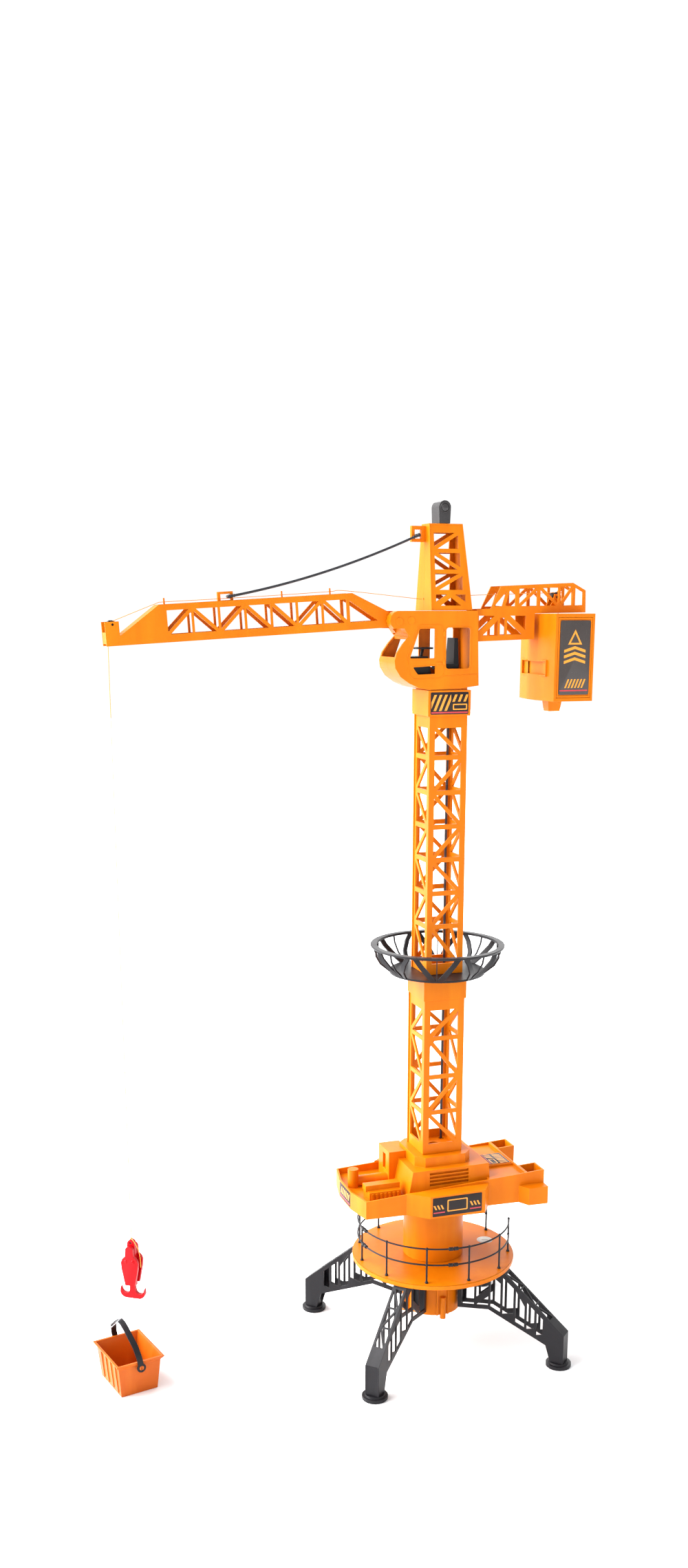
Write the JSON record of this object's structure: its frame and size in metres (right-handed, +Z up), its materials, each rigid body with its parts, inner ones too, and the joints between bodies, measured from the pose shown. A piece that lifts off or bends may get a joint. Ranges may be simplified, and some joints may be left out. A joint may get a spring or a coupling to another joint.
{
  "type": "toy tower crane",
  "caption": "Toy tower crane that slews on outrigger legs, with a latticed mast, operator cab, luffing jib, winch box, hook and bucket.",
  "frame": {"origin": "on the floor under the middle of the bounding box, in the middle plane of the mast", "axes": "+Z up, -X along the jib towards its tip, the legs at 45 degrees between X and Y"},
  "size_m": [0.7502, 0.3402, 1.28],
  "materials": {
    "orange_plastic": "moulded plastic with a soft gloss",
    "black_plastic": "moulded plastic, satin",
    "red_plastic": "moulded plastic, glossy",
    "bucket_plastic": "thin moulded plastic with a soft gloss",
    "steel": "plain steel",
    "yellow_line": "braided line",
    "white_plastic": "unpainted moulded plastic",
    "circuit_board": "printed board and shrink wrap",
    "black_strap": "soft black strap"
  },
  "bodies": {
    "base": {"base_column": "orange_plastic", "base_disc": "orange_plastic", "leg_rear_right": "black_plastic", "leg_front_right": "black_plastic", "leg_front_left": "black_plastic", "leg_rear_left": "black_plastic", "foot_pad_rear_right": "black_plastic", "foot_pad_front_right": "black_plastic", "foot_pad_front_left": "black_plastic", "foot_pad_rear_left": "black_plastic", "railing_rear_right": "black_plastic", "railing_front_right": "black_plastic", "railing_front_left": "black_plastic", "railing_rear_left": "black_plastic", "slew_ring_gear": "white_plastic"},
    "upperworks": {"chassis_top": "orange_plastic", "battery_hatch": "orange_plastic", "mast_lower_channel": "orange_plastic", "mast_lower_panel": "orange_plastic", "mast_upper_channel": "orange_plastic", "mast_upper_panel": "orange_plastic", "cab_left_shell": "orange_plastic", "cab_right_shell": "orange_plastic", "tower_head_left": "orange_plastic", "tower_head_right": "orange_plastic", "counter_jib_left": "orange_plastic", "counter_jib_right": "orange_plastic", "winch_box": "orange_plastic", "winch_box_cover": "orange_plastic", "chassis_bottom": "black_plastic", "lower_contact_plate": "black_plastic", "upper_contact_plate": "black_plastic", "cab_contact_plate": "black_plastic", "basket": "black_plastic", "operator_seat": "black_plastic", "steering_console": "black_plastic", "beacon_lamp": "black_plastic", "mast_wire": "black_strap", "jib_tie_strap": "black_strap", "slew_motor": "steel", "winch_motor": "steel", "jib_pivot_pin": "steel", "hoist_line_tail": "yellow_line", "battery_pack": "circuit_board", "receiver_board": "circuit_board"},
    "jib": {"jib_left_half": "orange_plastic", "jib_right_half": "orange_plastic", "hoist_line_jib": "yellow_line"},
    "slewing_gear_pinion": {"slew_pinion": "white_plastic"},
    "switch": {"power_switch": "black_plastic"},
    "drum": {"winch_drum": "white_plastic"},
    "drum_pinion": {"winch_pinion": "white_plastic"},
    "tail_sheave": {"tail_roller": "black_plastic"},
    "tip_sheave": {"tip_roller": "black_plastic"},
    "hanging_line": {"hoist_line_drop": "yellow_line"},
    "hook": {"hook_block": "red_plastic", "line_knot": "yellow_line"},
    "bucket": {"bucket": "bucket_plastic"},
    "bail": {"bucket_bail": "black_plastic", "twist_tie": "steel"}
  },
  "joints": [
    {"name": "slewing", "type": "hinge", "parent": "base", "child": "upperworks", "pos_m": [0.15862, 0, 0.26], "axis": [0, 0, 1], "range_deg": [-340, 340]},
    {"name": "slewing_pinion_spin", "type": "hinge", "parent": "upperworks", "child": "slewing_gear_pinion", "pos_m": [0.19492, 0, 0.2565], "axis": [0, 0, 1], "range_deg": [-1365, 1365]},
    {"name": "power_switch_slide", "type": "slide", "parent": "upperworks", "child": "switch", "axis": [0, 1, 0], "range_m": [0, 0.005]},
    {"name": "jib_luffing", "type": "hinge", "parent": "upperworks", "child": "jib", "pos_m": [0.08132, 0, 1.1172], "axis": [0, 1, 0], "range_deg": [0, 25], "deforming": ["jib_tie_strap", "hoist_line_jib"]},
    {"name": "drum_spin", "type": "hinge", "parent": "upperworks", "child": "drum", "pos_m": [0.33013, 0, 1.084], "axis": [0, 1, 0], "continuous": true},
    {"name": "drum_pinion_spin", "type": "hinge", "parent": "upperworks", "child": "drum_pinion", "pos_m": [0.33013, 0, 1.0581], "axis": [0, 1, 0], "continuous": true},
    {"name": "tail_sheave_spin", "type": "hinge", "parent": "upperworks", "child": "tail_sheave", "pos_m": [0.33413, 0, 1.1505], "axis": [0, 1, 0], "continuous": true},
    {"name": "tip_sheave_spin", "type": "hinge", "parent": "jib", "child": "tip_sheave", "pos_m": [-0.31436, 0, 1.11401], "axis": [0, 1, 0], "continuous": true},
    {"name": "line_hang", "type": "hinge", "parent": "jib", "child": "hanging_line", "pos_m": [-0.31436, 0, 1.11401], "axis": [0, 1, 0], "range_deg": [-25, 0]},
    {"name": "hoisting", "type": "slide", "parent": "hanging_line", "child": "hook", "axis": [0, 0, 1], "range_m": [0, 0.8], "deforming": ["hoist_line_drop"]},
    {"name": "bucket_lift", "type": "slide", "parent": "base", "child": "bucket", "axis": [0, 0, 1], "range_m": [0, 0.03]},
    {"name": "bail_swing", "type": "hinge", "parent": "bucket", "child": "bail", "pos_m": [-0.32788, 0.0129, 0.0457], "axis": [-0.2164, 0.9763, 0], "range_deg": [-30, 50]}
  ],
  "couplings": [
    {"joint": "slewing_pinion_spin", "follows": "slewing", "ratio": 4},
    {"joint": "line_hang", "follows": "jib_luffing", "ratio": -1},
    {"joint": "drum_spin", "follows": "hoisting", "rad_per_m": 102.04},
    {"joint": "drum_pinion_spin", "follows": "hoisting", "rad_per_m": -306.12},
    {"joint": "tail_sheave_spin", "follows": "hoisting", "rad_per_m": 158.73},
    {"joint": "tip_sheave_spin", "follows": "hoisting", "rad_per_m": 217.39}
  ]
}
